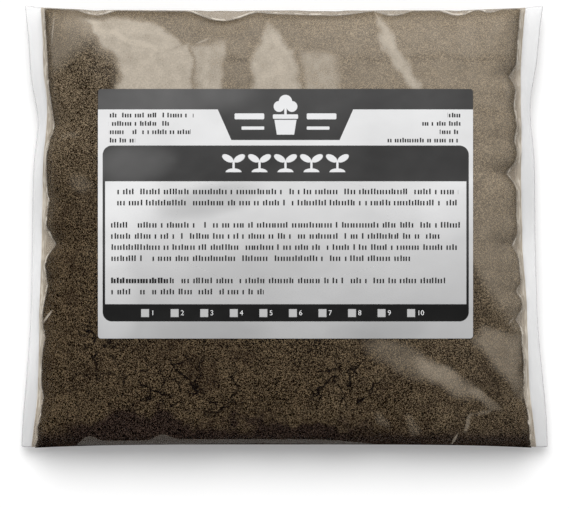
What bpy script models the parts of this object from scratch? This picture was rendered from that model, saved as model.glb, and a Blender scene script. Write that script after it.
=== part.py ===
# A one-litre clear bag of topsoil, lying on its back with its label up.
# A length of lay-flat polythene tube is heat-sealed at its left and right ends, which leaves a
# flat fin past each seal; the tube's two folds are the bag's top and bottom edges. The soil
# fills the tube, and a printed label is stuck on the front.
# Metres, +Z up, +X to the label's right, +Y to the label's top, origin under the middle.

import math

import bmesh
import bpy
import numpy as np
from mathutils import Matrix

# The tube's outline, seen from above.
BAG_LENGTH = 0.2150            # over both fins, at the corners
BAG_WIDTH = 0.1808             # from fold to fold, at the seals
FIN_WIDTH = 0.0065             # film past each seal
TOP_DRAWN_IN = 0.0013          # how far the filled tube draws its top fold in, half way along
BOTTOM_DRAWN_IN = 0.0017       # and its bottom fold
EAR_SPREAD = 4                 # how late along the bag the folds swing out to the corners

# How far each fin's edge is drawn in from its corners, from the bag's bottom to its top.
EDGE_STATIONS = (-1.0, -0.5, 0.0, 0.48, 1.0)
LEFT_DRAWN_IN = (0.0000, 0.0037, 0.0049, 0.0066, 0.0013)
RIGHT_DRAWN_IN = (0.0000, 0.0041, 0.0058, 0.0076, 0.0020)

# The filled height, and the height at which the two layers meet.
BAG_HEIGHT = 0.0300            # over the crown of the label side
FOLD_HEIGHT = 0.0115           # of the folds, half way along
SEAL_HEIGHT = 0.0078           # of the seals, half way up the bag
EAR_HEIGHT = 0.0048            # of the seals' corners
SETTLE = 0.0016                # how far the soil's weight presses the underside flat
LENGTH_FULLNESS = 5.0          # larger keeps the height nearer to the seals
END_SLOPE = 0.60               # smaller makes the layers meet more steeply at a seal
WIDTH_FULLNESS = 3.0           # larger squares the section between the folds

# The gathers where the round tube is pressed flat at the seals.
GATHERS = 8                    # across each seal
GATHER_HEIGHT = 0.0012
GATHER_PLACE = 0.92            # where they are deepest, of the way to the seal
GATHER_SPREAD = 0.07
GATHER_PHASES = (2.0, 1.0)     # of the left and the right seal's gathers, so that they differ
FIN_WAVES = 3
FIN_WAVE_HEIGHT = 0.0009
FIN_DROOP = 0.0020

# The film, the soil in it and the label on it.
FILM_GAUGE = 0.000127          # 500 gauge polythene
CLEARANCE = 0.0003             # between pieces that touch
SEAL_REACH = 0.995             # the hollow ends this share of the way to the seal
SOIL_REACH = 0.978             # and the soil this share
VENT_DIAMETER = 0.0015         # one vent prick, in the back
VENT_FROM_END = 0.0450         # from the bag's left end
VENT_FROM_FOLD = 0.0210        # from its top fold
LABEL_WIDTH = 0.1524
LABEL_HEIGHT = 0.1016
LABEL_GAUGE = 0.00015
LABEL_AT = (0.0004, 0.0057)    # its middle
LABEL_CORNER = 0.0012

# Colours.
FILM_COLOUR = (0.86, 0.86, 0.84)
FILM_ALPHA = 0.3
SOIL_COLOUR = (0.09, 0.068, 0.045)
LABEL_COLOUR = (0.62, 0.62, 0.62)

# Facets.
SECTION_POINTS = 64            # round the tube
SECTION_SPREAD = 0.85          # smaller gathers these points nearer to the folds
HALF_STATIONS = 16             # from the middle to a seal
SOIL_SECTION_POINTS = 48
SOIL_HALF_STATIONS = 12
LABEL_CELLS = (26, 18)
LABEL_CORNER_STEPS = 3
FIN_STEPS = 3
VENT_SIDES = 12
SHARP_FROM = math.radians(50)  # a steeper edge between two faces is shaded sharp
NO_RISE = 1e-9                 # the sine of a turn that is taken to lie in a fold


def clear_scene():
    for thing in list(bpy.data.objects):
        bpy.data.objects.remove(thing, do_unlink=True)


def surface(name, colour, roughness, alpha=1.0):
    material = bpy.data.materials.new(name)
    material.use_nodes = True
    shader = material.node_tree.nodes["Principled BSDF"]
    shader.inputs["Base Color"].default_value = (*colour, 1)
    shader.inputs["Roughness"].default_value = roughness
    shader.inputs["Metallic"].default_value = 0
    shader.inputs["Alpha"].default_value = alpha
    return material


def drawn_in(side, width_share):
    """How far the fin's edge is in from its corners, smoothly through the named stations."""
    depths = LEFT_DRAWN_IN if side < 0 else RIGHT_DRAWN_IN
    slopes = np.gradient(depths, EDGE_STATIONS)
    place = min(max(width_share, EDGE_STATIONS[0]), EDGE_STATIONS[-1])
    k = min(int(np.searchsorted(EDGE_STATIONS, place, side="right")) - 1, len(depths) - 2)
    span = EDGE_STATIONS[k + 1] - EDGE_STATIONS[k]
    t = (place - EDGE_STATIONS[k]) / span
    return (
        (2 * t**3 - 3 * t**2 + 1) * depths[k]
        + (t**3 - 2 * t**2 + t) * span * slopes[k]
        + (3 * t**2 - 2 * t**3) * depths[k + 1]
        + (t**3 - t**2) * span * slopes[k + 1]
    )


def seal_x(side, width_share):
    """The seal's place along the bag, on that side and at that share of the half width."""
    return side * (BAG_LENGTH / 2 - FIN_WIDTH - drawn_in(side, width_share))


def place_y(length_share, width_share):
    """The place across the bag, from its bottom fold at -1 to its top fold at 1."""
    full = 1 - abs(length_share) ** EAR_SPREAD
    top = BAG_WIDTH / 2 - TOP_DRAWN_IN * full
    bottom = BOTTOM_DRAWN_IN * full - BAG_WIDTH / 2
    return (top + bottom) / 2 + (top - bottom) / 2 * width_share


def section_shares(turn):
    """How far across the tube the turn has come, from fold to fold, and its share of the
    height there."""
    across = math.copysign(abs(math.cos(turn)) ** SECTION_SPREAD, math.cos(turn))
    lens = max(0.0, 1 - abs(across) ** WIDTH_FULLNESS) ** (1 / WIDTH_FULLNESS)
    return across, lens


def meeting_height(length_share, width_share):
    """The height at which the upper and the lower film meet, or would meet."""
    toward_seal = abs(length_share) ** EAR_SPREAD
    ear = (SEAL_HEIGHT - EAR_HEIGHT) * width_share**2 * toward_seal
    return FOLD_HEIGHT + (SEAL_HEIGHT - FOLD_HEIGHT) * toward_seal - ear


def gather(length_share, width_share, pleated):
    """The pleats beside the seals, which fade out into the full bag and at its folds. The
    unpleated surface runs along the bottoms of the pleats."""
    off = (abs(length_share) - GATHER_PLACE) / GATHER_SPREAD
    phase = GATHER_PHASES[length_share > 0]
    wave = math.cos(GATHERS * math.pi * width_share + phase) if pleated else -1
    return GATHER_HEIGHT * math.exp(-off * off) * wave * (1 - width_share**4)


def body_point(length_share, turn, pleated):
    """A point of the film's outside. The turn runs from the top fold over the front to the
    bottom fold, and back under the bag."""
    width_share, lens = section_shares(turn)
    lens *= (1 - abs(length_share) ** LENGTH_FULLNESS) ** END_SLOPE
    left, right = seal_x(-1, width_share), seal_x(1, width_share)
    x = (left + right) / 2 + length_share * (right - left) / 2
    y = place_y(length_share, width_share)
    height = meeting_height(length_share, width_share)
    rise = math.sin(turn)
    if rise > NO_RISE:
        pleat = gather(length_share, width_share, pleated) * lens**0.5
        return x, y, height + (BAG_HEIGHT - height) * lens + pleat + FILM_GAUGE * (1 - lens)
    if rise < -NO_RISE:
        return x, y, max(0.0, height - (height + SETTLE) * lens - FILM_GAUGE * (1 - lens))
    return x, y, height


def fin_point(side, turn, reach):
    """A point of a fin's outside, the given distance past the seal."""
    width_share = section_shares(turn)[0]
    share = reach / FIN_WIDTH
    x = seal_x(side, width_share) + side * reach
    y = place_y(side, width_share)
    wave = FIN_WAVE_HEIGHT * math.cos(FIN_WAVES * math.pi * width_share + side) * share
    z = meeting_height(side, width_share) - FIN_DROOP * share**2 + wave
    rise = math.sin(turn)
    layer = 0.0 if abs(rise) < NO_RISE else math.copysign(FILM_GAUGE, rise)
    return x, y, z + layer


def turns(count):
    return [2 * math.pi * k / count for k in range(count)]


def body_loops(count, half_stations, reach, pleated):
    """Sections of the filled tube, closer together near the seals."""
    shares = [
        reach * math.sin(math.pi / 2 * k / half_stations)
        for k in range(-half_stations, half_stations + 1)
    ]
    return np.array([[body_point(s, turn, pleated) for turn in turns(count)] for s in shares])


def fin_loops(side, count):
    steps = [FIN_WIDTH * k / FIN_STEPS for k in range(FIN_STEPS + 1)]
    return np.array([[fin_point(side, turn, step) for turn in turns(count)] for step in steps])


def inset(loops, depth):
    """The sections moved in from the surface by the depth."""
    along = np.gradient(loops, axis=0)
    around = np.roll(loops, -1, axis=1) - np.roll(loops, 1, axis=1)
    normal = np.cross(around, along)
    normal /= np.linalg.norm(normal, axis=2, keepdims=True)
    return loops - depth * normal


def add_loft(mesh, loops, inwards=False):
    """Faces between the sections, with the first and the last pressed shut like a seal."""
    count = loops.shape[1]
    verts = [[mesh.verts.new(point) for point in loop] for loop in loops]

    def face(*corners):
        mesh.faces.new(corners[::-1] if inwards else corners)

    for near, far in zip(verts, verts[1:]):
        for k in range(count):
            after = (k + 1) % count
            face(near[k], near[after], far[after], far[k])
    for loop, flip in ((verts[0], -1), (verts[-1], 1)):
        face(*(loop[0], loop[1], loop[-1])[::flip])
        for k in range(1, count // 2 - 1):
            face(*(loop[k], loop[k + 1], loop[-k - 1], loop[-k])[::flip])
        half = count // 2
        face(*(loop[half - 1], loop[half], loop[half + 1])[::flip])


def finished(mesh, name, material):
    data = bpy.data.meshes.new(name)
    mesh.to_mesh(data)
    mesh.free()
    data.materials.append(material)
    data.shade_smooth()
    data.set_sharp_from_angle(angle=SHARP_FROM)
    thing = bpy.data.objects.new(name, data)
    bpy.context.scene.collection.objects.link(thing)
    return thing


def make_vent_cutter():
    """A pin that stands through the back film only."""
    mesh = bmesh.new()
    bmesh.ops.create_cone(
        mesh,
        cap_ends=True,
        segments=VENT_SIDES,
        radius1=VENT_DIAMETER / 2,
        radius2=VENT_DIAMETER / 2,
        depth=2 * meeting_height(0, 0),
        matrix=Matrix.Translation((
            VENT_FROM_END - BAG_LENGTH / 2,
            BAG_WIDTH / 2 - VENT_FROM_FOLD,
            0,
        )),
    )
    pin = finished(mesh, "vent_pin", surface("vent_edge", FILM_COLOUR, 0.4))
    pin.hide_render = True
    pin.display_type = "WIRE"
    return pin


def make_film_bag():
    """The sealed tube with its fins, as one film with a hollow."""
    body = body_loops(SECTION_POINTS, HALF_STATIONS, SEAL_REACH, pleated=True)
    left = fin_loops(-1, SECTION_POINTS)[::-1]
    right = fin_loops(1, SECTION_POINTS)
    mesh = bmesh.new()
    add_loft(mesh, np.concatenate([left, body, right]))
    add_loft(mesh, inset(body, FILM_GAUGE), inwards=True)
    bag = finished(mesh, "film_bag", surface("clear_film", FILM_COLOUR, 0.15, FILM_ALPHA))
    vent = bag.modifiers.new("vent", "BOOLEAN")
    vent.operation = "DIFFERENCE"
    vent.solver = "EXACT"
    vent.object = make_vent_cutter()
    return bag


def make_soil_fill():
    """The soil, which takes the inside shape of the bag and stops short of the seals."""
    loops = body_loops(SOIL_SECTION_POINTS, SOIL_HALF_STATIONS, SOIL_REACH, pleated=False)
    mesh = bmesh.new()
    add_loft(mesh, inset(loops, FILM_GAUGE + CLEARANCE))
    return finished(mesh, "soil_fill", surface("topsoil", SOIL_COLOUR, 0.95))


def make_label(bag):
    """The sticker, laid on the front film with its corners rounded."""
    mesh = bmesh.new()
    across, up = LABEL_CELLS
    bmesh.ops.create_grid(mesh, x_segments=across, y_segments=up, size=0.5)
    bmesh.ops.scale(mesh, vec=(LABEL_WIDTH, LABEL_HEIGHT, 1), verts=mesh.verts)
    bmesh.ops.translate(mesh, vec=(*LABEL_AT, 2 * BAG_HEIGHT), verts=mesh.verts)
    corners = [v for v in mesh.verts if len(v.link_faces) == 1]
    bmesh.ops.bevel(
        mesh,
        geom=corners,
        affect="VERTICES",
        offset=LABEL_CORNER,
        segments=LABEL_CORNER_STEPS,
        profile=0.5,
    )
    label = finished(mesh, "label", surface("printed_label", LABEL_COLOUR, 0.35))
    lay = label.modifiers.new("lay on film", "SHRINKWRAP")
    lay.target = bag
    lay.wrap_method = "PROJECT"
    lay.use_project_z = True
    lay.use_positive_direction = False
    lay.use_negative_direction = True
    lay.offset = CLEARANCE
    body = label.modifiers.new("gauge", "SOLIDIFY")
    body.thickness = LABEL_GAUGE
    body.offset = 1.0
    return label


def main():
    clear_scene()
    bag = make_film_bag()
    make_soil_fill()
    make_label(bag)


main()
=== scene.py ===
"""A clear film bag of topsoil with a printed label, lying flat and seen from straight above."""

import math

import bpy
import numpy as np
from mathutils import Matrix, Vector, noise
from mathutils.bvhtree import BVHTree


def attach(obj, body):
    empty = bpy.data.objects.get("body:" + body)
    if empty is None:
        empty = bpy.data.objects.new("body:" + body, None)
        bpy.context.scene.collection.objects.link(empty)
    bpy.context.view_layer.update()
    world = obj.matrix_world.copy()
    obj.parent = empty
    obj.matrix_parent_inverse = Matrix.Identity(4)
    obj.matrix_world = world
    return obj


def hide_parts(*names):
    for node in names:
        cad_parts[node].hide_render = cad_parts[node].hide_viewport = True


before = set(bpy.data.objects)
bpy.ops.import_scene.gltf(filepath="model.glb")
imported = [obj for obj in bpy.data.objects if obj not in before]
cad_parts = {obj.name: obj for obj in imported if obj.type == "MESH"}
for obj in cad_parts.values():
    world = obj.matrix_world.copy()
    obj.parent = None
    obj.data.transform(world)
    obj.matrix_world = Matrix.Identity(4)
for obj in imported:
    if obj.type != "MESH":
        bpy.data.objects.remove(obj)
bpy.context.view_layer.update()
scene = bpy.context.scene
bpy.ops.object.select_all(action="DESELECT")


# Camera: it hangs straight above the bag, which lies on its back with its
# head away from the viewer. It is far off, so the crown is drawn hardly
# larger than the seams.
MM = 0.001
PICTURE_WIDTH = 231.2 * MM
PICTURE_CENTRE = -10.8 * MM  # the picture keeps room for the shadow below the bag
CAMERA_HEIGHT = 3.0
MIDDLE_OF_BAG = 15.0 * MM

bpy.ops.object.camera_add(location=(0.0, PICTURE_CENTRE, CAMERA_HEIGHT), rotation=(0.0, 0.0, 0.0))
camera = bpy.context.object
camera.name = "camera"
camera.data.lens = camera.data.sensor_width * (CAMERA_HEIGHT - MIDDLE_OF_BAG) / PICTURE_WIDTH
camera.data.clip_end = 20.0
scene.camera = camera


# Table and light: a white table, one broad lamp beyond the head of the bag
# that throws a soft shadow towards the viewer, and pale light all round.
class Finish:
    """A value that a material works out at each point. Sums on it add Math nodes."""

    def __init__(self, socket):
        self.socket = socket

    def node(self, kind, settings=None, inputs=None, output=0):
        """Adds a node: its settings first, then the values or links of its sockets."""
        tree = self.socket.id_data
        made = tree.nodes.new(kind)
        for name, value in (settings or {}).items():
            if name == "stops":
                ramp = made.color_ramp
                while len(ramp.elements) < len(value):
                    ramp.elements.new(1.0)
                for element, (position, tone) in zip(ramp.elements, value):
                    element.position = position
                    element.color = tone if len(tone) == 4 else (*tone, 1.0)
            elif name == "interpolation":
                made.color_ramp.interpolation = value
            else:
                setattr(made, name, value)
        for name, value in (inputs or {}).items():
            if isinstance(value, Finish):
                tree.links.new(value.socket, made.inputs[name])
            else:
                made.inputs[name].default_value = value
        return Finish(made.outputs[output])

    def math(self, operation, *others):
        values = dict(enumerate((self,) + others))
        return self.node("ShaderNodeMath", {"operation": operation}, values)

    def __add__(self, other):
        return self.math("ADD", other)

    def __sub__(self, other):
        return self.math("SUBTRACT", other)

    def __mul__(self, other):
        return self.math("MULTIPLY", other)

    def __truediv__(self, other):
        return self.math("DIVIDE", other)

    def __rsub__(self, other):
        return (self * -1.0) + other

    __radd__ = __add__
    __rmul__ = __mul__

    def __abs__(self):
        return self.math("ABSOLUTE")

    def lesser(self, other):
        return self.math("MINIMUM", other)

    def greater(self, other):
        return self.math("MAXIMUM", other)

    def between(self, low, high):
        """0 at low, 1 at high, and smooth between them."""
        scale = {"Value": self, "From Min": low, "From Max": high}
        return self.node("ShaderNodeMapRange", {"interpolation_type": "SMOOTHSTEP"}, scale)

    def blend(self, plain, covered):
        """The colour plain where this value is 0, and covered where it is 1."""
        settings = {"data_type": "RGBA"}
        return self.node("ShaderNodeMix", settings, {0: self, 6: plain, 7: covered}, output=2)

    def grain(self, size, detail=2.0, output=0, **more):
        """Cloudy noise on a place, with features about this many metres across."""
        inputs = {"Vector": self, "Scale": 1.0 / size, "Detail": detail}
        inputs.update(more)
        return self.node("ShaderNodeTexNoise", {"noise_dimensions": "3D"}, inputs, output)

    def axis(self, which):
        return self.node("ShaderNodeSeparateXYZ", None, {0: self}, output=which)


def new_finish(name):
    """A new material, its Principled shader, and the place on the piece in metres."""
    material = bpy.data.materials.new(name)
    material.use_nodes = True
    shader = material.node_tree.nodes["Principled BSDF"]
    place = Finish(shader.inputs[0]).node("ShaderNodeTexCoord", output=3)
    return material, shader, place


def feed(shader, name, value):
    """Puts a number, a colour or a worked out value into one of a shader's sockets."""
    if isinstance(value, Finish):
        shader.id_data.links.new(value.socket, shader.inputs[name])
    else:
        shader.inputs[name].default_value = value


TABLE_SIDE = 12.0
TABLE_TONE = (0.88, 0.88, 0.88, 1.0)
TABLE_GLOW = 0.18  # lifts the lit table to plain white and leaves the shadow on it
LAMP_FROM = Vector((-0.06, 0.56, 0.82))
LAMP_SPREAD = math.radians(48.0)
LAMP_STRENGTH = 2.64
SKY_STRENGTH = 0.33

bpy.ops.mesh.primitive_plane_add(size=TABLE_SIDE, location=(0.0, 0.0, -0.05 * MM))
table = bpy.context.object
table.name = "table"
material, shader, place = new_finish("white_table")
feed(shader, "Base Color", TABLE_TONE)
feed(shader, "Roughness", 0.9)
feed(shader, "Specular IOR Level", 0.0)
feed(shader, "Emission Color", (1.0, 1.0, 1.0, 1.0))
feed(shader, "Emission Strength", place.node("ShaderNodeLightPath") * TABLE_GLOW)
table.data.materials.append(material)

bpy.ops.object.light_add(type="SUN", rotation=LAMP_FROM.to_track_quat("Z", "Y").to_euler())
lamp = bpy.context.object
lamp.name = "broad_lamp"
lamp.data.angle = LAMP_SPREAD
lamp.data.energy = LAMP_STRENGTH

scene.world = bpy.data.worlds.new("pale_room")
scene.world.use_nodes = True
sky = scene.world.node_tree.nodes["Background"]
seen = Finish(sky.inputs[0]).node("ShaderNodeLightPath")
feed(sky, "Color", (1.0, 1.0, 1.0, 1.0))
feed(sky, "Strength", seen * (1.0 - SKY_STRENGTH) + SKY_STRENGTH)
scene.view_settings.view_transform = "Standard"


# Film bag: one length of clear polythene tube, laid flat. The head and the
# foot are folds, and a broad heat seal runs down each side and leaves a loose
# milky fin. The soil fills it tight, and the spare film gathers at the seals.
CROWN = 30.0  # millimetres from here on, until a mesh is written
FOLD_HEIGHT = 11.5
SEAL_HEIGHT = 8.2
FOOT_DROOP = 1.2  # the two corners at the foot hang lower
SETTLE = 1.6
FILM_GAUGE = 0.127
FILM_GAP = 0.15
HEAD, FOOT = 88.9, -88.8
SEAL_REACH = 90.4  # the seals run from here below the middle to as far above it
EARS_OUT = 1.4
EAR_ROOT = 100.0  # the distance across at which an ear is fully out
FIN_STRETCH = 1.018  # the fins are a little longer than the seals
HEAD_FLARE = 0.012  # the head ends of the fins reach further up by this share
FIN_GAP = 0.04
FIN_DROOP = 2.0
FIN_WAVE, FIN_WAVE_TURN = 0.7, 8.0
COLUMNS, FIN_COLUMNS, ROWS = 78, 3, 74
FIN_SHARE = 2.0 * FIN_COLUMNS / COLUMNS

# Each edge is read from the foot to the head as (places along Y, places along X).
LEFT_FIN = (
    (-90.4, -78.2, -62.0, -41.7, -9.1, 27.4, 43.7, 59.9, 76.2, 92.0),
    (-107.8, -107.1, -105.7, -104.1, -103.3, -102.5, -100.9, -103.8, -105.0, -106.7),
)
RIGHT_FIN = (
    (-90.4, -78.2, -62.0, -41.7, -9.1, 27.4, 51.8, 68.0, 84.0, 92.0),
    (107.9, 107.4, 105.9, 103.9, 102.9, 102.5, 100.7, 103.6, 105.3, 106.6),
)
LEFT_SEAL = (
    (-90.4, -80.0, -68.0, -52.0, -30.0, -13.0, 3.0, 30.0, 44.0, 52.0, 62.0, 76.0, 90.4),
    (-103.1, -101.7, -100.5, -99.9, -99.7, -99.0, -98.7, -97.9, -96.8, -96.5, -97.8, -98.2, -99.0),
)
RIGHT_SEAL = (
    (-90.4, -78.0, -64.0, -44.0, -28.0, -13.0, 3.0, 20.0, 36.0, 52.0, 68.0, 80.0, 90.4),
    (102.5, 101.0, 99.5, 98.9, 98.4, 97.0, 96.5, 96.1, 96.4, 96.2, 96.1, 96.9, 97.9),
)
# The soil stops just short of a seal. Where the film hangs empty it draws back
# further. Each pocket has its middle, half length and depth.
LEFT_MARGIN, RIGHT_MARGIN = 1.2, 1.7
LEFT_POCKETS = (
    (66.0, 14.0, 0.6), (42.0, 13.0, 2.2), (10.0, 18.0, 1.4), (-6.7, 9.0, 4.8),
    (-24.0, 14.0, 1.9), (-45.0, 9.0, 1.1), (-69.0, 7.0, 1.4), (-76.0, 7.0, 1.0),
    (-86.0, 5.0, 0.7),
)
RIGHT_POCKETS = (
    (61.5, 6.0, 3.0), (50.0, 12.0, 1.3), (35.6, 6.0, 1.3), (22.0, 7.0, 4.2),
    (5.0, 14.0, 0.4), (-7.2, 6.0, 2.6), (-26.0, 4.5, 2.6), (-37.5, 6.5, 3.0),
    (-47.0, 9.0, 0.8), (-68.0, 9.0, 0.8), (-86.0, 6.0, 0.4),
)
HEAD_SCALLOPS = (
    (-76.6, 9.0, 2.0), (-25.0, 15.0, 3.9), (0.0, 16.0, 1.2), (19.0, 18.0, 1.7),
    (44.0, 8.5, 1.8), (70.5, 8.0, 2.0), (83.5, 5.0, 1.1),
)


def along(place, stations):
    """A smooth edge through its stations, read at each place."""
    at, values = (np.asarray(each, float) for each in stations)
    slopes = np.gradient(values, at)
    place = np.clip(place, at[0], at[-1])
    near = np.clip(np.searchsorted(at, place, side="right") - 1, 0, len(at) - 2)
    span = at[near + 1] - at[near]
    share = (place - at[near]) / span
    rise = share * share * (3.0 - 2.0 * share)
    leave = share * (1.0 - share) ** 2 * span * slopes[near]
    arrive = share * share * (share - 1.0) * span * slopes[near + 1]
    return values[near] * (1.0 - rise) + values[near + 1] * rise + leave + arrive


def pockets(place, dips, tip):
    """How far the edge of the soil draws back, at places along a seal or a fold. A larger tip is rounder."""
    depth = 0.0 * place
    for middle, half_length, deepest in dips:
        share = np.clip(1.0 - np.abs((place - middle) / half_length) ** tip, 0.0, 1.0)
        depth = depth + deepest * share**1.7
    return depth


def folds(x):
    """The foot and the head of the film at places along X."""
    ears = EARS_OUT * np.clip(np.abs(x) / EAR_ROOT, 0.0, 1.0) ** 4
    return FOOT - ears, HEAD + ears


def soil_ends(x):
    """The foot and the head of the soil at places along X."""
    foot, head = folds(x)
    return foot + 0.5, head - 1.0 - pockets(x, HEAD_SCALLOPS, 2.0)


def soil_sides(y):
    """The left and the right edge of the soil at places along Y."""
    left = along(y, LEFT_SEAL) + LEFT_MARGIN + pockets(y, LEFT_POCKETS, 1.15)
    right = along(y, RIGHT_SEAL) - RIGHT_MARGIN - pockets(y, RIGHT_POCKETS, 1.15)
    return left, right


def fullness(x, y):
    """0 at the edge of the soil and 1 on the flat crown, at places on the bag."""
    left, right = soil_sides(y)
    foot, head = soil_ends(x)
    across = np.clip(np.abs(2.0 * x - left - right) / (right - left), 0.0, 1.0)
    lengthwise = np.clip(np.abs(2.0 * y - foot - head) / (head - foot), 0.0, 1.0)
    rise_across = (1.0 - across**7) ** 0.54 + 1e-4
    rise_along = (1.0 - lengthwise**3) ** (1.0 / 3.0) + 1e-4
    return (rise_across**-5 + rise_along**-5) ** -0.2


def seam_height(across, lengthwise):
    """How high the seam of the two sheets runs, over shares of the bag's half sides."""
    near_seal = np.clip(np.abs(across), 0.0, 1.0) ** 4
    droop = FOOT_DROOP * np.clip(-lengthwise, 0.0, 1.0) ** 8 * near_seal
    return FOLD_HEIGHT + (SEAL_HEIGHT - FOLD_HEIGHT) * near_seal - droop


def film_places(across, lengthwise, side):
    """Points of the sheet on this side, 1 in front and -1 behind, before the film settles."""
    y_near = lengthwise * SEAL_REACH
    left, right = along(y_near, LEFT_SEAL), along(y_near, RIGHT_SEAL)
    y_fin = y_near * FIN_STRETCH
    left_fin, right_fin = along(y_fin, LEFT_FIN), along(y_fin, RIGHT_FIN)
    inside = np.clip(across, -1.0, 1.0)
    fin = np.clip((np.abs(across) - 1.0) / FIN_SHARE, 0.0, 1.0)
    x = (left + right) / 2.0 + inside * (right - left) / 2.0
    x = x + fin * np.where(across < 0.0, left_fin - left, right_fin - right)
    foot, head = folds(x)
    flare = 1.0 + HEAD_FLARE * fin * (lengthwise > 0.0)
    y = (foot + head) / 2.0 + lengthwise * (head - foot) / 2.0 * flare
    seam = seam_height(inside, lengthwise)
    full = fullness(x, y)
    front = seam + (CROWN - seam) * full + FILM_GAP
    back = np.maximum(FILM_GAUGE, seam - (seam + SETTLE) * full - FILM_GAP)
    z = np.where(side > 0, front, back)
    z = np.where(fin > 0.0, seam + side * FIN_GAP, z)
    at_edge = (fin >= 1.0 - 1e-6) | (np.abs(lengthwise) >= 1.0 - 1e-6)
    z = np.where(at_edge, seam, z)
    z = z - FIN_DROOP * fin**2 + FIN_WAVE * fin * np.cos(FIN_WAVE_TURN * lengthwise + np.sign(across))
    return np.stack([x, y, z], -1)


def read_points(mesh):
    points = np.empty(len(mesh.vertices) * 3, np.float32)
    mesh.vertices.foreach_get("co", points)
    return points.reshape(-1, 3) / MM


def write_points(mesh, points):
    mesh.vertices.foreach_set("co", (points * MM).astype(np.float32).ravel())
    mesh.update()


def set_values(mesh, name, values):
    """Gives a mesh one number for each of its points, for a material to read."""
    attribute = mesh.attributes.new(name, "FLOAT", "POINT")
    attribute.data.foreach_set("value", np.asarray(values, np.float32))


def get_values(mesh, name):
    values = np.empty(len(mesh.vertices), np.float32)
    mesh.attributes[name].data.foreach_get("value", values)
    return values


def add_two_sheets(name, columns, rows, reach, places):
    """A closed pillow of two grids that meet at their edge, shaped by places."""
    sheets = []
    for side in (1, -1):
        bpy.ops.mesh.primitive_grid_add(x_subdivisions=columns, y_subdivisions=rows, size=2.0)
        sheet = bpy.context.object
        points = read_points(sheet.data) * MM
        across, lengthwise = points[:, 0] * reach, points[:, 1]
        set_values(sheet.data, "across", across)
        set_values(sheet.data, "lengthwise", lengthwise)
        set_values(sheet.data, "side", np.full(len(points), side))
        write_points(sheet.data, places(across, lengthwise, side))
        if side < 0:
            sheet.data.flip_normals()
        sheets.append(sheet)
    sheets[0].name = name
    sheets[0].select_set(True)
    bpy.context.view_layer.objects.active = sheets[0]
    bpy.ops.object.join()
    bpy.ops.object.mode_set(mode="EDIT")
    bpy.ops.mesh.select_all(action="SELECT")
    bpy.ops.mesh.remove_doubles(threshold=0.01 * MM)
    bpy.ops.object.mode_set(mode="OBJECT")
    return sheets[0]


def add_weights(piece, name, weights):
    group = piece.vertex_groups.new(name=name)
    weights = np.round(weights, 2)
    for weight in np.unique(weights):
        group.add([int(each) for each in np.flatnonzero(weights == weight)], float(weight), "REPLACE")


bag = add_two_sheets("film_bag_shell", COLUMNS + 2 * FIN_COLUMNS, ROWS, 1.0 + FIN_SHARE, film_places)
points = read_points(bag.data)
across = get_values(bag.data, "across")
lengthwise = get_values(bag.data, "lengthwise")
side = get_values(bag.data, "side")

# Most of the spare film is at the seals, and some at the folds. The label and
# the table hold the film nearly still, and the fins are stiff, because there
# the two sheets are one.
SPARE_FILM = 0.035
SPARE_AT_SEAL, SPARE_AT_FOLD = 0.16, 0.12  # how far the spare film reaches, as shares of a half side
LABEL_MIDDLE, LABEL_REACH = (0.4, 5.7), (77.0, 52.0)
NEAR_TABLE = 0.5
NEAR_EDGE = 0.02
LOOSE, EDGE_HOLD, TABLE_HOLD, LABEL_HOLD = 0.30, 0.6, 0.70, 0.75
SETTLING_FRAMES = 12
from_seal = 1.0 - np.abs(across)
from_fold = 1.0 - np.abs(lengthwise)
spare_at_seal = np.clip(1.0 - from_seal / SPARE_AT_SEAL, 0.0, 1.0)
spare_at_fold = np.clip(1.0 - from_fold / SPARE_AT_FOLD, 0.0, 1.0)
spare = np.maximum(spare_at_seal, 0.45 * spare_at_fold)
under_label = (side > 0) & np.all(np.abs(points[:, :2] - LABEL_MIDDLE) < LABEL_REACH, axis=1)
on_table = (side < 0) & (points[:, 2] < NEAR_TABLE)
hold = np.full(len(points), LOOSE)
hold[from_fold < NEAR_EDGE] = EDGE_HOLD
hold[from_seal < NEAR_EDGE] = EDGE_HOLD
hold[under_label] = LABEL_HOLD
hold[on_table] = TABLE_HOLD
hold[from_seal < 0.001] = 1.0
add_weights(bag, "snug", np.where(from_seal < 0.0, 1.0, 1.0 - spare))
add_weights(bag, "held", hold)
add_weights(bag, "pressed", np.where(from_seal > 0.01, 1.0, 0.0))
cloth = bag.modifiers.new("settling", "CLOTH")
film = cloth.settings
film.quality = 8
film.mass = 0.01
film.tension_stiffness = film.compression_stiffness = 60.0
film.shear_stiffness = 30.0
film.bending_stiffness = 0.02
film.tension_damping = film.compression_damping = film.shear_damping = 5.0
film.bending_damping = 0.5
film.air_damping = 2.0
film.vertex_group_mass = "held"
film.pin_stiffness = 1.0
film.use_pressure = True
film.uniform_pressure_force = 2.0
film.vertex_group_pressure = "pressed"
film.effector_weights.gravity = 0.0
film.vertex_group_shrink = "snug"
film.shrink_min, film.shrink_max = -SPARE_FILM, 0.0
cloth.collision_settings.use_collision = False
cloth.collision_settings.use_self_collision = False
cloth.point_cache.frame_start, cloth.point_cache.frame_end = 1, SETTLING_FRAMES
for step in range(SETTLING_FRAMES + 1):
    scene.frame_set(step)
settled = bpy.data.meshes.new_from_object(bag.evaluated_get(bpy.context.evaluated_depsgraph_get()))
bag.modifiers.clear()
bag.data = settled
bag.vertex_groups.clear()
scene.frame_set(1)
points = read_points(bag.data)
points[:, 2] = np.maximum(points[:, 2], FILM_GAUGE)
write_points(bag.data, points)

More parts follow.
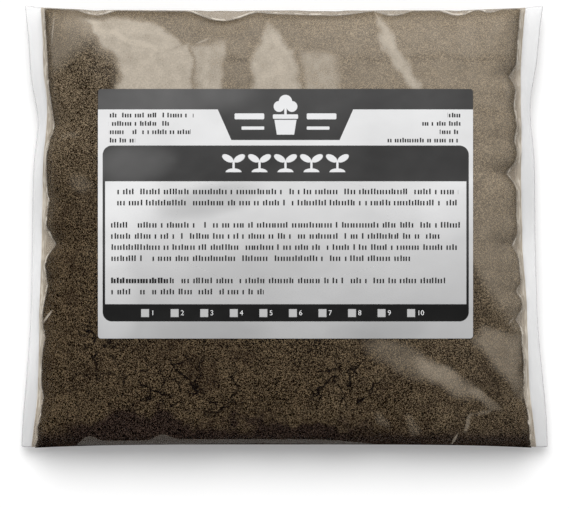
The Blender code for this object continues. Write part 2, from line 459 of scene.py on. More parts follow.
# The material reads how far a point lies inside the edge of the soil, and which
# sheet it is on. The fold belongs to the front sheet.
side[from_fold < 0.001] = 1.0
bag.data.attributes["side"].data.foreach_set("value", side)
bpy.ops.object.select_all(action="DESELECT")
bag.select_set(True)
bpy.context.view_layer.objects.active = bag
rounding = bag.modifiers.new("rounding", "SUBSURF")
rounding.levels = rounding.render_levels = 1
bpy.ops.object.modifier_apply(modifier="rounding")
points = read_points(bag.data)
x, y = points[:, 0], points[:, 1]
left, right = soil_sides(y)
set_values(bag.data, "inside_soil", np.minimum(np.minimum(x - left, right - x), soil_ends(x)[1] - y))
faces = [tuple(face.vertices) for face in bag.data.polygons]
soil_side = BVHTree.FromPolygons([tuple(each) for each in points], faces)
gauge = bag.modifiers.new("gauge", "SOLIDIFY")
gauge.thickness = FILM_GAUGE * MM
gauge.offset = 1.0
bpy.ops.object.modifier_apply(modifier="gauge")
bpy.ops.object.shade_smooth()

material, shader, place = new_finish("clear_polythene")
DUSTY_FILM = (0.62, 0.525, 0.405, 1.0)
CHALKY_FILM_AND_SHEEN = (0.64, 0.565, 0.465, 1.0)
PALE_CREAM = (0.82, 0.755, 0.655, 1.0)
CLOUDED_FILM = (0.40, 0.328, 0.240, 1.0)
SEAL_TAN = (0.42, 0.34, 0.24, 1.0)
BROWN_DUST = (0.125, 0.088, 0.052, 1.0)
PALE_DUST_AND_LIGHT = (0.32, 0.262, 0.188, 1.0)
FOOT_SHADE_GREY = (0.150, 0.129, 0.108, 1.0)
side = place.node("ShaderNodeAttribute", {"attribute_name": "side"}, output=2)
inside_soil = place.node("ShaderNodeAttribute", {"attribute_name": "inside_soil"}, output=2)
across = abs(place.node("ShaderNodeAttribute", {"attribute_name": "across"}, output=2))
right, up = place.axis(0) / MM, place.axis(1) / MM
warp = place.grain(9.0 * MM, detail=5.0, output=1)
warp = warp.node("ShaderNodeVectorMath", {"operation": "SUBTRACT"}, {0: warp, 1: (0.5, 0.5, 0.5)})
drifted = {0: warp, 1: (7.0 * MM,) * 3, 2: place}
drift = place.node("ShaderNodeVectorMath", {"operation": "MULTIPLY_ADD"}, drifted)
drift_x, drift_y = drift.axis(0) / MM, drift.axis(1) / MM


def streak(spot, middle_x, middle_y, half_length, half_width, turn, strength):
    """A soft patch of milky film, drawn out along its length."""
    turned = {"Vector": spot, "Center": (middle_x * MM, middle_y * MM, 0.0), "Angle": -math.radians(turn)}
    local = spot.node("ShaderNodeVectorRotate", {"rotation_type": "Z_AXIS"}, turned)
    lengthways = (local.axis(0) - middle_x * MM) / (half_length * MM)
    sideways = (local.axis(1) - middle_y * MM) / (half_width * MM)
    return (lengthways * lengthways + sideways * sideways).between(1.0, 0.0) * strength


def facet(corners, softness, strength):
    """A patch of milky film and painted reflection, with straight soft sides, between these corners, which
    run anticlockwise.
    """
    depth = None
    for (from_x, from_y), (to_x, to_y) in zip(corners, corners[1:] + corners[:1]):
        length = math.hypot(to_x - from_x, to_y - from_y)
        normal_x, normal_y = (from_y - to_y) / length, (to_x - from_x) / length
        reach = drift_x * normal_x + drift_y * normal_y - (from_x * normal_x + from_y * normal_y)
        depth = reach if depth is None else depth.lesser(reach)
    return depth.between(-0.5 * softness, 0.7 * softness) * strength


# Towards the head and down the right side the film stands off the soil in flat facets, which look milky
# and carry a painted reflection of the lamp. Narrower milky streaks lie beside the label and below it.
MILKY_SHEEN_FACETS = (
    ([(-94.0, 93.0), (-72.0, 67.0), (100.0, 67.0), (100.0, 93.0)], 6.0, 0.29),
    ([(-69.0, 69.0), (-68.0, 46.0), (100.0, 46.0), (100.0, 69.0)], 6.0, 0.29),
    ([(74.0, 60.0), (74.0, -13.0), (96.0, -46.0), (101.0, -46.0), (101.0, 60.0)], 6.0, 0.22),
    ([(-82.5, 86.0), (-66.0, 61.0), (-38.0, 73.0), (-49.0, 81.5), (-63.0, 86.5)], 4.0, 0.76),
    ([(-68.0, 67.0), (-68.0, 45.0), (-35.0, 45.0), (-37.5, 75.5)], 4.0, 0.78),
    ([(-38.5, 74.0), (-37.0, 45.0), (-25.5, 45.0), (-22.5, 77.0)], 4.5, 0.68),
    ([(-13.5, 71.0), (-15.0, 45.0), (8.0, 45.0), (5.0, 72.0), (-7.5, 86.0)], 5.0, 0.76),
    ([(5.0, 73.0), (6.5, 45.0), (26.0, 45.0), (22.0, 72.0)], 7.0, 0.60),
    ([(35.0, 90.0), (39.0, 72.0), (54.0, 50.0), (60.0, 50.0), (47.0, 74.0), (38.5, 90.0)], 4.0, 0.72),
    ([(76.0, -46.0), (97.0, -70.0), (97.0, -44.0), (80.0, -40.0)], 4.0, 0.26),
)
STREAKS = (
    (-87.0, 37.0, 6.0, 2.0, 15.0, 0.09), (-82.0, 17.5, 7.0, 4.0, -35.0, 0.08),
    (52.0, -80.0, 6.0, 2.6, -55.0, 0.08), (39.0, -78.0, 6.0, 2.6, -50.0, 0.08),
    (75.0, -79.5, 5.0, 1.3, 68.0, 0.24), (81.0, -75.0, 5.0, 1.1, 20.0, 0.14),
    (-62.0, 76.0, 16.0, 1.6, -22.0, 0.12), (-32.0, 62.0, 12.0, 2.2, 86.0, 0.12),
    (-90.0, 80.0, 26.0, 14.0, 50.0, 0.30), (50.0, -54.0, 24.0, 7.0, -24.0, 0.15),
    (66.0, -61.5, 18.0, 6.0, -31.0, 0.24), (81.0, -70.0, 10.0, 2.8, -32.0, 0.16),
)
# Painted glints lie along small creases in the film.
CREASE_GLINTS = (
    (69.0, -86.0, 3.4, 0.7, 62.0, 0.45), (37.0, 86.5, 3.0, 0.6, -60.0, 0.35),
    (-33.0, 75.5, 4.0, 0.5, 22.0, 0.30), (-96.5, -36.5, 4.5, 0.7, 52.0, 0.75),
    (-94.0, 80.5, 9.0, 0.5, 84.0, 0.35), (-95.8, -6.0, 3.0, 0.4, 60.0, 0.50),
    (71.4, 86.9, 1.7, 0.6, -20.0, 0.70), (-94.6, -3.2, 2.6, 0.35, -40.0, 0.45),
    (91.0, 23.5, 2.6, 0.35, 35.0, 0.45), (92.0, -38.0, 2.4, 0.35, 50.0, 0.40),
)
# A broad painted sheen lightens the film towards the head and the right, and more along the right side.
BROAD_SHEEN, RIGHT_SHEEN = 0.055, 0.014
haze_and_sheen = right * 0.0
for corners, softness, strength in MILKY_SHEEN_FACETS:
    haze_and_sheen = haze_and_sheen.greater(facet(corners, softness, strength))
haze_and_sheen = haze_and_sheen + up.between(-75.0, 45.0) * right.between(-80.0, 96.0) * BROAD_SHEEN
haze_and_sheen = haze_and_sheen + right.between(40.0, 96.0) * RIGHT_SHEEN
for spot in STREAKS:
    haze_and_sheen = haze_and_sheen + streak(drift, *spot)
dust = place.grain(0.55 * MM, detail=1.0) * 0.6 + place.grain(5.0 * MM, detail=5.0) * 0.7
haze_and_sheen = haze_and_sheen * (dust + 0.35)
for glint in CREASE_GLINTS:
    haze_and_sheen = haze_and_sheen + streak(place, *glint)
# The foot lies over itself in a narrow strip with low humps, painted dark grey for the shade it lies in.
FOOT_HUMPS = ((-79.5, 6.0, 2.3), (-49.5, 6.5, 2.0))
STRIP_HEIGHT, STRIP_RISE = 2.2, 0.6
STRIP_VEIL, EDGE_VEIL = 0.70, 0.16
strip = right.between(-88.0, -76.0) * right.between(46.0, 10.0) * STRIP_HEIGHT
strip = strip + right.between(-62.0, -46.0) * right.between(50.0, 30.0) * STRIP_RISE
for middle, half_width, height in FOOT_HUMPS:
    strip = strip + abs(right - middle).between(half_width, 0.0) * height
shaded_strip = (strip + FOOT - up).between(-0.15, 0.2)
in_front = side.between(-0.3, 0.3)
haze_and_sheen = haze_and_sheen.greater(shaded_strip * STRIP_VEIL) * in_front
# Beside the seals the film is steep and dusted brown, so less of the soil shows through it.
edge_film = inside_soil.between(3.2, 0.6) * in_front * (up.between(-30.0, 20.0) * 0.8 + 0.2)
haze_and_sheen = haze_and_sheen.greater(edge_film * EDGE_VEIL)
# A ray crosses two faces of one sheet, and four of a fin.
EMPTY_VEIL, PALE_VEIL, RIM_HIGHLIGHT_VEIL = 0.62, 0.27, 0.5
SEAM_VEIL = 0.28
FIN_VEIL = 0.82
MOST_HAZE = 0.9
at_head = up.between(83.0, 87.0)
frayed = place.grain(2.6 * MM, detail=3.0).between(0.45, 0.75) * (0.7 - at_head * 0.7)
empty = (inside_soil - frayed).between(0.45, -0.25)
pleated = place.node("ShaderNodeMapping", None, {"Vector": place, "Scale": (1.0, 0.16, 1.0)})
ridges = pleated.grain(1.1 * MM, detail=3.0).between(0.42, 0.62) * (1.0 - at_head)
near_seal = across.between(0.974, 0.997) * (ridges * 0.4 + 0.6) * up.between(-87.0, -72.0)
# A pale painted highlight runs in places along the rim where the film leaves the soil.
rim_highlight = abs(inside_soil - frayed + 0.35).between(0.50, 0.05) * in_front
rim_highlight = rim_highlight * place.grain(5.0 * MM, detail=3.0).between(0.46, 0.62)
pale = (near_seal * 0.8 + ridges * 0.22 + at_head * 0.12).greater(rim_highlight)
haze_and_sheen = haze_and_sheen.lesser(MOST_HAZE).greater(empty * (pale * PALE_VEIL + EMPTY_VEIL)).greater(rim_highlight * RIM_HIGHLIGHT_VEIL)
fin = across.between(1.0005, 1.0045)
fin_tip = across.between(1.0 + FIN_SHARE - 0.0025, 1.0 + FIN_SHARE - 0.0005)
seam_line = abs(across - 0.9985).between(0.0035, 0.0005)
cover = (1.0 - (1.0 - haze_and_sheen).math("POWER", 0.5)).greater(seam_line * SEAM_VEIL) * (1.0 - fin)
cover = cover + fin * (1.0 - fin_tip) * (1.0 - (1.0 - FIN_VEIL) ** 0.25)
# The fins wave, so they are dull at the foot and just above the middle, and bright
# just below the middle and at the head.
lit_fin = up.between(-88.0, -42.0) * 0.17 + up.between(40.0, 85.0) * 0.06 + 0.78
lit_fin = lit_fin + abs(up + 20.0).between(30.0, 0.0) * 0.06 - abs(up - 11.0).between(20.0, 0.0) * 0.07
lit_fin = lit_fin + place.grain(18.0 * MM, detail=0.0) * 0.06
fin_colour = place.node("ShaderNodeCombineColor", None, {0: lit_fin, 1: lit_fin, 2: lit_fin * 1.005})
# Where the film is most clouded, in the facets, it takes a paler colour that carries the painted reflection.
colour = haze_and_sheen.between(0.35, 0.75).blend(DUSTY_FILM, CHALKY_FILM_AND_SHEEN)
# The strip at the foot is painted dark grey as shade.
colour = shaded_strip.blend(colour, FOOT_SHADE_GREY)
# Towards the right the brown dust is painted paler, as painted light against the shade of the steep film.
colour = (edge_film * 0.85).blend(colour, right.between(-80.0, 60.0).blend(BROWN_DUST, PALE_DUST_AND_LIGHT))
colour = (at_head * 0.6).blend(colour, SEAL_TAN)
colour = pale.lesser(empty.greater(rim_highlight)).blend(empty.blend(colour, CLOUDED_FILM), PALE_CREAM)
colour = (seam_line * 0.5).blend(colour, SEAL_TAN)
ripple = place.grain(4.0 * MM, detail=3.0) + place.grain(1.2 * MM, detail=1.0) * 0.25
crinkled = {"Strength": (1.0 - fin) * 0.25, "Distance": 0.4 * MM, "Height": ripple}
crinkle = place.node("ShaderNodeBump", None, crinkled)
feed(shader, "Base Color", fin.blend(colour, fin_colour))
feed(shader, "Roughness", 0.42)
feed(shader, "Specular IOR Level", 0.06)
feed(shader, "Normal", crinkle)
MIRRORED = 0.002
clear = place.node("ShaderNodeBsdfTransparent")
shine = {"Color": (1.0, 1.0, 1.0, 1.0), "Roughness": 0.27, "Normal": crinkle}
gloss = place.node("ShaderNodeBsdfGlossy", None, shine)
glossy_film = place.node("ShaderNodeMixShader", None, {0: MIRRORED, 1: clear, 2: gloss})
milk = Finish(shader.outputs[0])
surface = place.node("ShaderNodeMixShader", None, {0: cover, 1: glossy_film, 2: milk})
material.node_tree.links.new(surface.socket, material.node_tree.nodes["Material Output"].inputs["Surface"])
bag.data.materials.clear()
bag.data.materials.append(material)
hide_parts("film_bag")
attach(bag, "root")


# Soil: dark screened loam, poured in and patted flat. It lies hard against
# the film, has dried in cracks near the foot, and draws back from the seals
# in small pockets and from the head fold in shallow scallops.
SOIL_COLUMNS, SOIL_ROWS = 220, 196
SOIL_REACH = 88.0  # a first guess at how far it lies from the middle, up and down
HALF_ACROSS, HALF_UP = 98.0, 90.0  # from the middle of the bag to a seal and to a fold
CLOD_SIZE, CLOD_DEPTH = 9.0, 0.45
CRUMB_SIZE, CRUMB_DEPTH = 1.9, 0.16


def soil_places(across, lengthwise, side):
    y = lengthwise * SOIL_REACH
    for _ in range(3):
        left, right = soil_sides(y)
        x = (left + right) / 2.0 + across * (right - left) / 2.0
        foot, head = soil_ends(x)
        y = (foot + head) / 2.0 + lengthwise * (head - foot) / 2.0
    seam = seam_height(x / HALF_ACROSS, y / HALF_UP)
    at_edge = (np.abs(across) >= 1.0 - 1e-6) | (np.abs(lengthwise) >= 1.0 - 1e-6)
    return np.stack([x, y, seam + np.where(at_edge, 0.0, side * 0.1)], -1)


soil = add_two_sheets("loose_soil", SOIL_COLUMNS, SOIL_ROWS, 1.0, soil_places)
points = read_points(soil.data)
side = get_values(soil.data, "side")
across = get_values(soil.data, "across")
lengthwise = get_values(soil.data, "lengthwise")
at_edge = (np.abs(across) >= 1.0 - 1e-6) | (np.abs(lengthwise) >= 1.0 - 1e-6)
CLEARANCE = 0.12
STEEPEST = 0.25  # the upright share of the normal past which the clearance grows no more
HALF_WAY_UP, OUTSIDE = 15.0, 45.0  # the film is sought from this far above or below the bag's middle


def film_height(x, y, way, otherwise):
    """The height of the soil just inside the film above (1) or below (-1) this place."""
    start = Vector((x, y, HALF_WAY_UP + OUTSIDE * way))
    hit, normal, _, _ = soil_side.ray_cast(start, Vector((0.0, 0.0, -way)))
    return hit.z - way * CLEARANCE / max(abs(normal.z), STEEPEST) if hit else otherwise


for number, (x, y, z) in enumerate(points):
    spot = Vector((x, y, 0.0))
    above, below = film_height(x, y, 1.0, z), film_height(x, y, -1.0, z)
    middle = (above + below) / 2.0
    if at_edge[number]:
        points[number, 2] = middle
        continue
    clods = noise.fractal(spot / CLOD_SIZE, 0.9, 2.0, 4)
    crumbs = noise.noise(spot / CRUMB_SIZE)
    depth = CLOD_DEPTH * max(clods, 0.0) + CRUMB_DEPTH * max(crumbs, 0.0)
    if side[number] > 0:
        points[number, 2] = max(above - depth, middle)
    else:
        points[number, 2] = min(max(below, 2.0 * FILM_GAUGE) + depth, middle)
write_points(soil.data, points)
bpy.ops.object.select_all(action="DESELECT")
soil.select_set(True)
bpy.context.view_layer.objects.active = soil
bpy.ops.object.shade_smooth()

material, shader, place = new_finish("screened_loam")
# A grain's chance picks its tone, from the dark gaps to the pale grit.
DAMP_AND_SHADED_STOPS = [
    (0.22, (0.0012, 0.0006, 0.0003)), (0.45, (0.0118, 0.0062, 0.0026)),
    (0.66, (0.0515, 0.0325, 0.0178)), (0.84, (0.27, 0.195, 0.112)),
]
DRY_AND_LIT_STOPS = [
    (0.22, (0.019, 0.0118, 0.0058)), (0.45, (0.100, 0.067, 0.0355)),
    (0.66, (0.235, 0.172, 0.105)), (0.84, (0.62, 0.50, 0.345)),
]
FOOT_BAND_STOPS = [
    (0.22, (0.0004, 0.0001, 0.0001)), (0.45, (0.0016, 0.0006, 0.0004)),
    (0.66, (0.0060, 0.0030, 0.0021)), (0.84, (0.120, 0.078, 0.058)),
]
WET_BLACK = (0.0045, 0.0024, 0.0022, 1.0)
RED_BROWN = (0.020, 0.0100, 0.0062, 1.0)
right, up = place.axis(0) / MM, place.axis(1) / MM


def cells(size, which):
    """A chance between 0 and 1 for each grain of soil, with grains of this size."""
    inputs = {"Vector": place, "Scale": 1.0 / size}
    return place.node("ShaderNodeTexVoronoi", None, inputs, output=1).axis(which)


COARSE_GRAIN, FINE_GRAIN, GAP_PITCH = 0.26 * MM, 0.16 * MM, 0.30 * MM
gaps = place.node("ShaderNodeTexVoronoi", None, {"Vector": place, "Scale": 1.0 / GAP_PITCH})
grains = cells(COARSE_GRAIN, 0) * 1.05 + cells(FINE_GRAIN, 1) * 0.45 - (gaps - 0.30) * 0.10 - 0.22
patches = place.grain(13.0 * MM, detail=1.5)
mixed = grains + (patches - 0.5) * 0.20
# The soil is painted lighter towards the head and the right, as painted light, and its tone changes at
# random in broad patches.
dryness_and_light = up.between(-66.0, 76.0) * 0.60 + right.between(-70.0, 95.0) * 0.36 + (patches - 0.5) * 0.36
# The steep right side is painted paler, as painted light against the shade it falls in.
across = place.node("ShaderNodeAttribute", {"attribute_name": "across"}, output=2)
painted_light_right = across.between(0.93, 0.99)
dryness_and_light = dryness_and_light.between(0.15, 1.0) + painted_light_right * up.between(-74.0, -20.0) * 0.60
damp_and_shaded_soil = place.node("ShaderNodeValToRGB", {"stops": DAMP_AND_SHADED_STOPS}, {0: mixed})
dry_and_lit_soil = place.node("ShaderNodeValToRGB", {"stops": DRY_AND_LIT_STOPS}, {0: mixed})
colour = dryness_and_light.blend(damp_and_shaded_soil, dry_and_lit_soil)
# It has dried in cracks near the foot. They follow the edges of bent cells.
CRACKED = (
    (-40.0, -64.0, 36.0, 15.0, -8.0, 1.6), (24.0, -65.0, 20.0, 12.0, 12.0, 1.5),
    (-76.0, -52.0, 15.0, 22.0, 0.0, 0.9),
)
CRACK_CELLS = ((14.0, 0.040), (9.0, 0.045))  # how long a clod is, and the opening as a share of it
cracked = right * 0.0
for spot in CRACKED:
    cracked = cracked.greater(streak(place, *spot))
cracked = cracked.lesser(1.0)
crack = right * 0.0
bent = place.grain(5.0 * MM, detail=5.0, output=1)
inputs = {0: bent, 1: (9.0 * MM,) * 3, 2: place}
bent = place.node("ShaderNodeVectorMath", {"operation": "MULTIPLY_ADD"}, inputs)
to_edge = {"feature": "DISTANCE_TO_EDGE", "voronoi_dimensions": "2D"}
for length, opening in CRACK_CELLS:
    inputs = {"Vector": bent, "Scale": 1.0 / (length * MM)}
    from_edge = place.node("ShaderNodeTexVoronoi", to_edge, inputs)
    open_here = place.grain(0.7 * length * MM, detail=2.0).between(0.42, 0.54)
    crack = crack.greater(from_edge.between(opening, 0.4 * opening) * open_here)
crack = crack * cracked
# It is coloured black along the foot, in a band that stands up in a low hill at the left.
hill = abs(right + 58.0).between(24.0, 6.0) * 6.0
band_edge = place.grain(8.0 * MM, detail=4.0)
foot_band = (up + (band_edge - 0.5) * 26.0 - hill).between(-77.0, -83.0)
foot_band = foot_band * right.between(-98.0, -84.0) * right.between(48.0, 20.0)
foot_band = foot_band.greater(up.between(-81.0, -86.0) * 0.9)
stained = place.grain(11.0 * MM, detail=3.0).between(0.50, 0.68) * (1.0 - dryness_and_light) * 0.35
colour = stained.blend(colour, RED_BROWN)
foot_band_soil = place.node("ShaderNodeValToRGB", {"stops": FOOT_BAND_STOPS}, {0: mixed})
colour = foot_band.blend(colour, foot_band_soil)
colour = (crack * 0.95).blend(colour, WET_BLACK)
rise = grains * 1.3 + place.grain(1.6 * MM, detail=1.0) * 0.25 - crack * 3.0
crumbly = place.node("ShaderNodeBump", None, {"Strength": 1.0, "Distance": 0.35 * MM, "Height": rise})
feed(shader, "Base Color", colour)
feed(shader, "Roughness", place.grain(3.0 * MM) * 0.25 + 0.75)
feed(shader, "Normal", crumbly)
feed(shader, "Specular IOR Level", 0.0)
soil.data.materials.clear()
soil.data.materials.append(material)
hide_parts("soil_fill")
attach(soil, "root")


# Label: a white gummed sheet with rounded corners, printed in black and
# stuck to the crown of the bag, so it follows each rise of the film.
LABEL_WIDTH, LABEL_HEIGHT = 151.8, 101.0
LABEL_X, LABEL_Y = 0.4, 5.5
LABEL_GAUGE = 0.15
LABEL_CORNER = 1.2
LABEL_CELL = 2.0

bpy.ops.mesh.primitive_plane_add(size=1.0, location=(LABEL_X * MM, LABEL_Y * MM, 40.0 * MM))
label = bpy.context.object
label.name = "printed_label"
label.scale = (LABEL_WIDTH * MM, LABEL_HEIGHT * MM, 1.0)
bpy.ops.object.transform_apply(location=True, rotation=True, scale=True)
bpy.ops.object.mode_set(mode="EDIT")
bpy.ops.mesh.select_all(action="SELECT")
bpy.ops.mesh.bevel(offset=LABEL_CORNER * MM, segments=5, affect="VERTICES")
for direction, middle, size in ((0, LABEL_X, LABEL_WIDTH), (1, LABEL_Y, LABEL_HEIGHT)):
    cuts = round(size / LABEL_CELL)
    for cut in range(1, cuts):
        at, normal = [0.0, 0.0, 0.0], [0.0, 0.0, 0.0]
        at[direction] = (middle - size / 2.0 + size * cut / cuts) * MM
        normal[direction] = 1.0
        bpy.ops.mesh.select_all(action="SELECT")
        bpy.ops.mesh.bisect(plane_co=at, plane_no=normal)
bpy.ops.object.mode_set(mode="OBJECT")
stuck = label.modifiers.new("stuck", "SHRINKWRAP")
stuck.target = bag
stuck.wrap_method = "PROJECT"
stuck.use_project_z = True
stuck.use_negative_direction = True
stuck.use_positive_direction = False
stuck.offset = 0.03 * MM
stock = label.modifiers.new("stock", "SOLIDIFY")
stock.thickness = LABEL_GAUGE * MM
stock.offset = 1.0
bpy.ops.object.modifier_apply(modifier="stuck")
bpy.ops.object.modifier_apply(modifier="stock")
bpy.ops.object.shade_smooth_by_angle(angle=math.radians(30.0))

material, shader, place = new_finish("gummed_paper")
INK = (0.008, 0.0078, 0.008, 1.0)
BARE_PAPER = (0.80, 0.80, 0.81, 1.0)
TICK_BOX_GREY = (0.50, 0.50, 0.50, 1.0)
across = place.axis(0) / MM - LABEL_X
upward = place.axis(1) / MM - LABEL_Y
EDGE = 0.10  # how soft a printed edge is
BARE_SHARE = 0.17  # of the places for a stroke


def inside(distance):
    """1 where a distance is below nothing, with the soft edge of print."""
    return distance.between(EDGE, -EDGE)


def block(left, right, bottom, top, corner=0.0):
    """A printed block with round corners, between these edges of the label."""
    off_x = abs(across - (left + right) / 2.0) - ((right - left) / 2.0 - corner)
    off_y = abs(upward - (bottom + top) / 2.0) - ((top - bottom) / 2.0 - corner)
    if corner == 0.0:
        return inside(off_x.greater(off_y))
    off_x, off_y = off_x.greater(0.0), off_y.greater(0.0)
    return inside((off_x * off_x + off_y * off_y).math("SQRT") - corner)


def rows_of_strokes(top, pitch, lines, height, step, thick):
    """Rows of short upright strokes where print would be. Each row has a start and an end."""
    rows = len(lines)
    down = (top - upward) / pitch
    row = down.math("FLOOR")
    above = (0.5 - down + row) * pitch
    column = (across / step).math("FLOOR")
    cell = {"Vector": place.node("ShaderNodeCombineXYZ", None, {0: column + 0.5, 1: row + 0.5, 2: step})}
    any_ink = place.node("ShaderNodeTexWhiteNoise", {"noise_dimensions": "3D"}, cell)
    chance = place.node("ShaderNodeTexWhiteNoise", {"noise_dimensions": "3D"}, cell, output=1)
    ends = []
    for which in (0, 1):
        shares = [line[which] / LABEL_WIDTH + 0.5 for line in lines]
        stops = [(number / rows, (share,) * 3) for number, share in enumerate(shares)]
        ramp = {"interpolation": "CONSTANT", "stops": stops}
        share = place.node("ShaderNodeValToRGB", ramp, {0: (row + 0.5) / rows}).axis(0)
        ends.append((share - 0.5) * LABEL_WIDTH)
    in_row = (across.math("GREATER_THAN", ends[0]) * across.math("LESS_THAN", ends[1])
              * row.math("GREATER_THAN", -0.5) * row.math("LESS_THAN", rows - 0.5))
    shown = in_row * any_ink.math("GREATER_THAN", BARE_SHARE)
    off = abs(across - (column + 0.5 + (chance.axis(0) - 0.5) * 0.3) * step) - thick / 2.0
    reach_up = chance.axis(1).math("GREATER_THAN", 0.7) * 0.28 * height + height / 2.0
    return shown * inside(off.greater(above - reach_up).greater(-1.0 * above - height / 2.0))


# Header bar and the tab that hangs from it.
HEADER_FOOT, TAB_FOOT = 42.2, 29.8
HALF_TAB_TOP, HALF_TAB_FOOT = 27.4, 21.9
header = inside(HEADER_FOOT - upward)
tab_slope = (HALF_TAB_TOP - HALF_TAB_FOOT) / (HEADER_FOOT - TAB_FOOT)
tab = inside((abs(across) - HALF_TAB_FOOT - (upward - TAB_FOOT) * tab_slope).greater(TAB_FOOT - upward))
# The framed panel, its title band and the row of tick boxes.
PANEL = (-74.0, 74.2, -43.6, 27.6)
frame_line = block(*PANEL, corner=3.8)
panel = block(PANEL[0] + 1.0, PANEL[1] - 1.0, -36.6, 13.1)
black = header.greater(tab).greater(frame_line * (1.0 - panel))


def disc(middle_x, middle_y, radius):
    """A printed disc, and its mirror image on the other side of the label."""
    off_x, off_y = abs(across) - middle_x, upward - middle_y
    return inside((off_x * off_x + off_y * off_y).math("SQRT") - radius)


# A round shrub in a plant pot stands in the tab, between two pairs of rules.
pot = inside((abs(across) - 3.5 - (upward - 32.0) * 0.16).greater(abs(upward - 35.0) - 3.0))
pot = pot.greater(block(-5.1, 5.1, 38.4, 40.2, corner=0.4)).greater(block(-0.5, 0.5, 40.0, 43.0))
shrub = disc(0.0, 45.4, 2.7).greater(disc(2.6, 43.4, 2.2))
rules = (block(-20.6, -8.6, 38.2, 40.6, 0.5).greater(block(8.6, 20.6, 38.2, 40.6, 0.5))
         .greater(block(-17.8, -8.6, 34.0, 35.3, 0.3)).greater(block(8.6, 17.8, 34.0, 35.3, 0.3)))
# Five sprouts stand in a row in the title band.
SPROUT_PITCH = 10.5
TITLE_Y = 20.6
LEAF_TURN = math.radians(30.0)
LEAF_OUT, LEAF_UP = 2.35, 1.8  # the middle of a leaf
LEAF_LENGTH, LEAF_WIDTH = 2.5, 1.3  # from the middle of a leaf
MOUND_WIDTH, MOUND_FOOT = 3.2, -3.8
steps = (across / SPROUT_PITCH).math("ROUND")
leaf_x = abs(across - steps * SPROUT_PITCH)
leaf_y = upward - TITLE_Y
along_leaf = (leaf_x - LEAF_OUT) * math.cos(LEAF_TURN) + (leaf_y - LEAF_UP) * math.sin(LEAF_TURN)
cross_leaf = (leaf_y - LEAF_UP) * math.cos(LEAF_TURN) - (leaf_x - LEAF_OUT) * math.sin(LEAF_TURN)
along_leaf, cross_leaf = along_leaf / LEAF_LENGTH, cross_leaf / LEAF_WIDTH
leaves = inside((along_leaf * along_leaf + cross_leaf * cross_leaf).math("SQRT") - 1.0)
stem = inside((leaf_x - 0.45).greater(abs(leaf_y + 1.2) - 2.2))
off_x, off_y = leaf_x / MOUND_WIDTH, leaf_y - MOUND_FOOT
mound = inside((off_x * off_x + off_y * off_y / 2.4 - 1.0).greater(-1.0 * off_y))
sprouts = leaves.greater(stem).greater(mound) * abs(steps).math("LESS_THAN", 2.5)
# Ten tick boxes along the foot of the panel.
TICK_PITCH, TICK_FROM, TICK_SIDE, TICK_Y = 11.96, -56.8, 3.2, -40.2
tick_step = ((across - TICK_FROM) / TICK_PITCH).math("ROUND")
tick_off = abs(across - TICK_FROM - tick_step * TICK_PITCH).greater(abs(upward - TICK_Y))
ticks = inside(tick_off - TICK_SIDE / 2.0) * abs(tick_step - 4.5).math("LESS_THAN", 5.0)
# Rows of strokes on the panel and beside the tab.
START = -70.6
BARE = (LABEL_WIDTH / 2.0, LABEL_WIDTH / 2.0)
BODY_LINES = [
    (START, 69.9), (START, 69.5), BARE, (START, 71.0), (START, 62.4),
    (START, 69.6), (START, 50.4), BARE, (START, 64.6), (START, -8.8),
]
LEFT_LINES = [(-71.6, -37.2), (-71.6, -47.0), (-71.6, -38.4), (-71.6, -60.8)]
RIGHT_LINES = [(65.6, 70.9), (54.8, 70.9), (62.4, 70.9), (41.2, 70.9)]
heavy = block(START, START + 22.6, -29.3, -25.0) * 0.24
body = rows_of_strokes(11.0, 4.50, BODY_LINES, 1.80, 1.18, heavy + 0.62)
left_print = rows_of_strokes(41.4, 3.38, LEFT_LINES, 1.50, 1.02, 0.60)
right_print = rows_of_strokes(41.4, 3.38, RIGHT_LINES, 1.45, 1.00, 0.60)
print_strokes = body.greater(left_print).greater(right_print)

# The paper catches more light towards the head, and dull and bright patches cross it.
PATCHES = (
    (-66.0, 8.0, 30.0, 18.0, 70.0, 0.12), (66.0, 12.0, 24.0, 14.0, 80.0, 0.05),
    (-30.0, 11.0, 26.0, 8.0, 12.0, -0.14), (-30.0, -42.0, 28.0, 9.0, 0.0, -0.07),
    (38.0, -42.0, 24.0, 8.0, 4.0, -0.06), (-8.0, -15.0, 40.0, 12.0, 8.0, -0.04),
    (-70.0, -30.0, 28.0, 13.0, 90.0, 0.10),
)
SHEEN = (
    (-62.0, 26.0, 22.0, 11.0, 10.0, 0.055), (-50.0, 52.0, 44.0, 12.0, 4.0, 0.055),
    (10.0, 22.0, 30.0, 6.0, 0.0, 0.012),
)
clouds = place.grain(26.0 * MM, detail=3.0)
lightness = upward.between(-66.0, 44.0) * 0.36 + 0.415
for patch in PATCHES:
    lightness = lightness + streak(place, *patch)
lightness = lightness * (clouds * 0.24 + 0.88)
white = place.node("ShaderNodeCombineColor", None, {0: lightness, 1: lightness, 2: lightness * 1.005})
# The black print is painted with sheen: paler in the title band and the header, and in soft patches.
ink_sheen = upward.between(-34.0, -10.0) * 0.036 + upward.between(30.0, 46.0) * 0.018 + 0.008
for patch in SHEEN:
    ink_sheen = ink_sheen + streak(place, *patch)
ink_sheen = ink_sheen * (clouds * 0.9 + 0.55)
ink_tone = place.node("ShaderNodeCombineColor", None, {0: ink_sheen, 1: ink_sheen * 0.985, 2: ink_sheen * 0.98})
colour = print_strokes.blend(white, INK)
colour = black.blend(colour, ink_tone)
bright = pot.greater(shrub).greater(rules).greater(sprouts)
colour = bright.blend(colour, BARE_PAPER)
colour = ticks.blend(colour, TICK_BOX_GREY)
creases = place.grain(20.0 * MM, detail=2.0) + place.grain(5.0 * MM) * 0.08
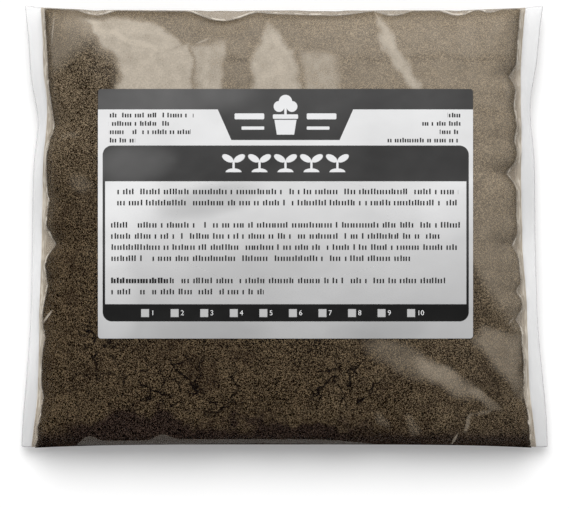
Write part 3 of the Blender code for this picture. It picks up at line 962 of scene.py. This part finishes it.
soft_bump = place.node("ShaderNodeBump", None, {"Strength": 0.5, "Distance": 1.2 * MM, "Height": creases})
feed(shader, "Base Color", colour)
feed(shader, "Roughness", black * -0.08 + 0.42)
feed(shader, "Specular IOR Level", 0.12)
feed(shader, "Normal", soft_bump)
label.data.materials.clear()
label.data.materials.append(material)
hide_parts("label")
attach(label, "root")


# Numbers: plain white figures from 1 to 10, one beside each tick box. They are
# printed on the label, and lie on it as a thin raised film of ink.
FIGURE_SIZE = 2.9
FIGURE_FROM_BOX = 2.4
INK_GAUGE = 0.02

paper = BVHTree.FromPolygons([tuple(each) for each in read_points(label.data)],
                             [tuple(p.vertices) for p in label.data.polygons])
figures = []
for number in range(10):
    bpy.ops.object.select_all(action="DESELECT")
    bpy.ops.object.text_add(location=(0.0, 0.0, 0.0))
    figure = bpy.context.object
    figure.data.body = str(number + 1)
    figure.data.align_y = "CENTER"
    figure.data.size = FIGURE_SIZE * MM
    figure.data.extrude = INK_GAUGE / 2.0 * MM
    bpy.ops.object.convert(target="MESH")
    figure = bpy.context.object
    points = read_points(figure.data)
    points[:, 0] += LABEL_X + TICK_FROM + number * TICK_PITCH + FIGURE_FROM_BOX
    points[:, 1] += LABEL_Y + TICK_Y
    for point in points:
        hit = paper.ray_cast(Vector((point[0], point[1], 60.0)), Vector((0.0, 0.0, -1.0)))[0]
        point[2] += hit.z + INK_GAUGE
    write_points(figure.data, points)
    figures.append(figure)
for figure in figures:
    figure.select_set(True)
bpy.context.view_layer.objects.active = figures[0]
bpy.ops.object.join()
figures[0].name = "tick_numbers"
material, shader, place = new_finish("white_figures")
worn = place.grain(0.8 * MM, detail=2.0) * 0.16 + 0.68
feed(shader, "Base Color", place.node("ShaderNodeCombineColor", None, {0: worn, 1: worn, 2: worn}))
feed(shader, "Roughness", place.grain(2.0 * MM) * 0.2 + 0.4)
feed(shader, "Specular IOR Level", 0.12)
figures[0].data.materials.clear()
figures[0].data.materials.append(material)
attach(figures[0], "root")
